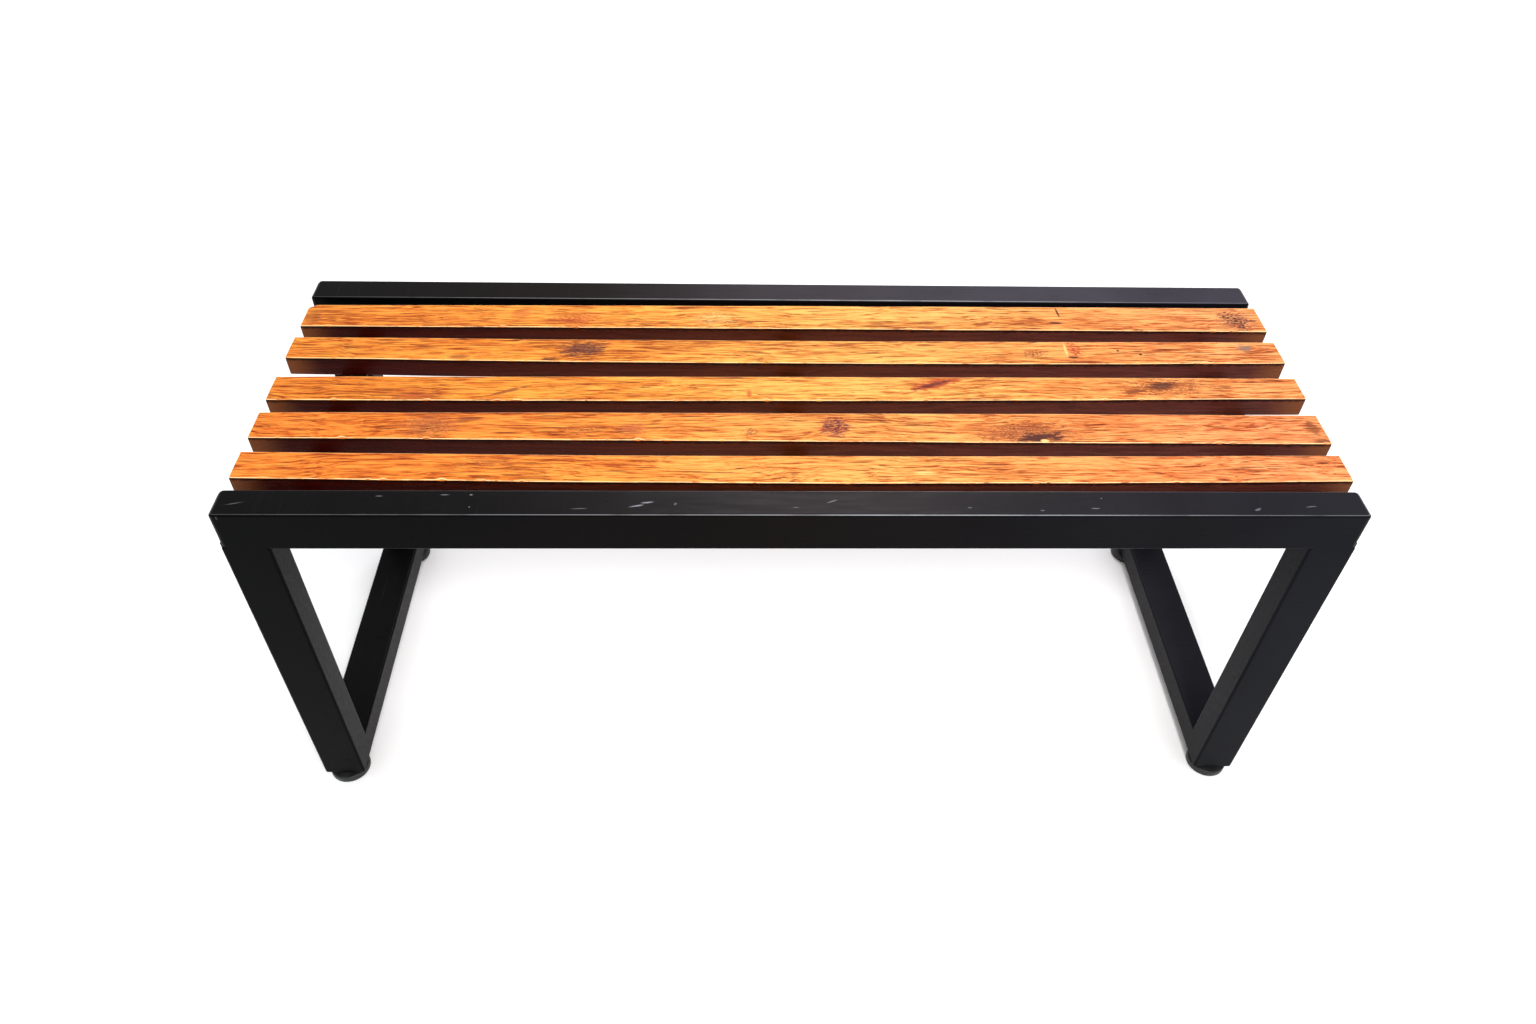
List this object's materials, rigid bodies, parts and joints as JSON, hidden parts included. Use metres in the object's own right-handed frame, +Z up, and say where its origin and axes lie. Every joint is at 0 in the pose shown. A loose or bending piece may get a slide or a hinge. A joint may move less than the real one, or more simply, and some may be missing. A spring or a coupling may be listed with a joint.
{
  "type": "backless bench",
  "caption": "Low backless bench: black rectangular-tube frame with a floor beam at each end, narrow wood slats set between two steel rails, adjustable feet.",
  "frame": {"origin": "the middle of the footprint, on the floor", "axes": "+X along the bench to the right as seen from the front, +Y to the rear, +Z up"},
  "size_m": [1.2, 0.4382, 0.49],
  "materials": {
    "powder_coated_steel": "satin black powder coat with a fine texture",
    "slat_wood": "stained and oiled hardwood, satin, with a fine sawn grain along the slat",
    "zinc_steel": "zinc plated, dull",
    "pad_nylon": "matt black moulded nylon",
    "sole_rubber": "matt black rubber"
  },
  "bodies": {
    "frame": {"beam_leg_flush_welds": "powder_coated_steel", "beam_leg_welds": "powder_coated_steel", "bearer_welds": "powder_coated_steel", "front_left_end_cap": "powder_coated_steel", "front_left_foot_plate": "powder_coated_steel", "front_left_leg": "powder_coated_steel", "front_left_weld_nut": "zinc_steel", "front_rail": "powder_coated_steel", "front_right_end_cap": "powder_coated_steel", "front_right_foot_plate": "powder_coated_steel", "front_right_leg": "powder_coated_steel", "front_right_weld_nut": "zinc_steel", "left_floor_beam": "powder_coated_steel", "left_slat_bearer": "powder_coated_steel", "leg_rail_flush_welds": "powder_coated_steel", "leg_rail_welds": "powder_coated_steel", "middle_slat_bearer": "powder_coated_steel", "rear_left_end_cap": "powder_coated_steel", "rear_left_foot_plate": "powder_coated_steel", "rear_left_leg": "powder_coated_steel", "rear_left_weld_nut": "zinc_steel", "rear_rail": "powder_coated_steel", "rear_right_end_cap": "powder_coated_steel", "rear_right_foot_plate": "powder_coated_steel", "rear_right_leg": "powder_coated_steel", "rear_right_weld_nut": "zinc_steel", "right_floor_beam": "powder_coated_steel", "right_slat_bearer": "powder_coated_steel", "slat_1": "slat_wood", "slat_2": "slat_wood", "slat_3": "slat_wood", "slat_4": "slat_wood", "slat_5": "slat_wood", "slat_screws": "zinc_steel"},
    "front_left_pad": {"front_left_foot_pad": "pad_nylon", "front_left_foot_sole": "sole_rubber"},
    "front_left_stud": {"front_left_foot_stud": "zinc_steel"},
    "front_right_pad": {"front_right_foot_pad": "pad_nylon", "front_right_foot_sole": "sole_rubber"},
    "front_right_stud": {"front_right_foot_stud": "zinc_steel"},
    "rear_left_pad": {"rear_left_foot_pad": "pad_nylon", "rear_left_foot_sole": "sole_rubber"},
    "rear_left_stud": {"rear_left_foot_stud": "zinc_steel"},
    "rear_right_pad": {"rear_right_foot_pad": "pad_nylon", "rear_right_foot_sole": "sole_rubber"},
    "rear_right_stud": {"rear_right_foot_stud": "zinc_steel"}
  },
  "joints": [
    {"name": "front_left_foot_travel", "type": "slide", "parent": "frame", "child": "front_left_pad", "axis": [0, 0, -1], "range_m": [0, 0.0151]},
    {"name": "front_left_stud_turn", "type": "hinge", "parent": "front_left_pad", "child": "front_left_stud", "pos_m": [-0.5746, -0.19405, 0.012], "axis": [0, 0, -1], "range_deg": [0, 4320]},
    {"name": "front_right_foot_travel", "type": "slide", "parent": "frame", "child": "front_right_pad", "axis": [0, 0, -1], "range_m": [0, 0.0151]},
    {"name": "front_right_stud_turn", "type": "hinge", "parent": "front_right_pad", "child": "front_right_stud", "pos_m": [0.5746, -0.19405, 0.012], "axis": [0, 0, -1], "range_deg": [0, 4320]},
    {"name": "rear_left_foot_travel", "type": "slide", "parent": "frame", "child": "rear_left_pad", "axis": [0, 0, -1], "range_m": [0, 0.0151]},
    {"name": "rear_left_stud_turn", "type": "hinge", "parent": "rear_left_pad", "child": "rear_left_stud", "pos_m": [-0.5706, 0.19405, 0.012], "axis": [0, 0, -1], "range_deg": [0, 4320]},
    {"name": "rear_right_foot_travel", "type": "slide", "parent": "frame", "child": "rear_right_pad", "axis": [0, 0, -1], "range_m": [0, 0.0151]},
    {"name": "rear_right_stud_turn", "type": "hinge", "parent": "rear_right_pad", "child": "rear_right_stud", "pos_m": [0.5656, 0.19405, 0.012], "axis": [0, 0, -1], "range_deg": [0, 4320]}
  ],
  "couplings": [
    {"joint": "front_left_foot_travel", "follows": "front_left_stud_turn", "m_per_rad": 0.00019894},
    {"joint": "front_right_foot_travel", "follows": "front_right_stud_turn", "m_per_rad": 0.00019894},
    {"joint": "rear_left_foot_travel", "follows": "rear_left_stud_turn", "m_per_rad": 0.00019894},
    {"joint": "rear_right_foot_travel", "follows": "rear_right_stud_turn", "m_per_rad": 0.00019894}
  ]
}
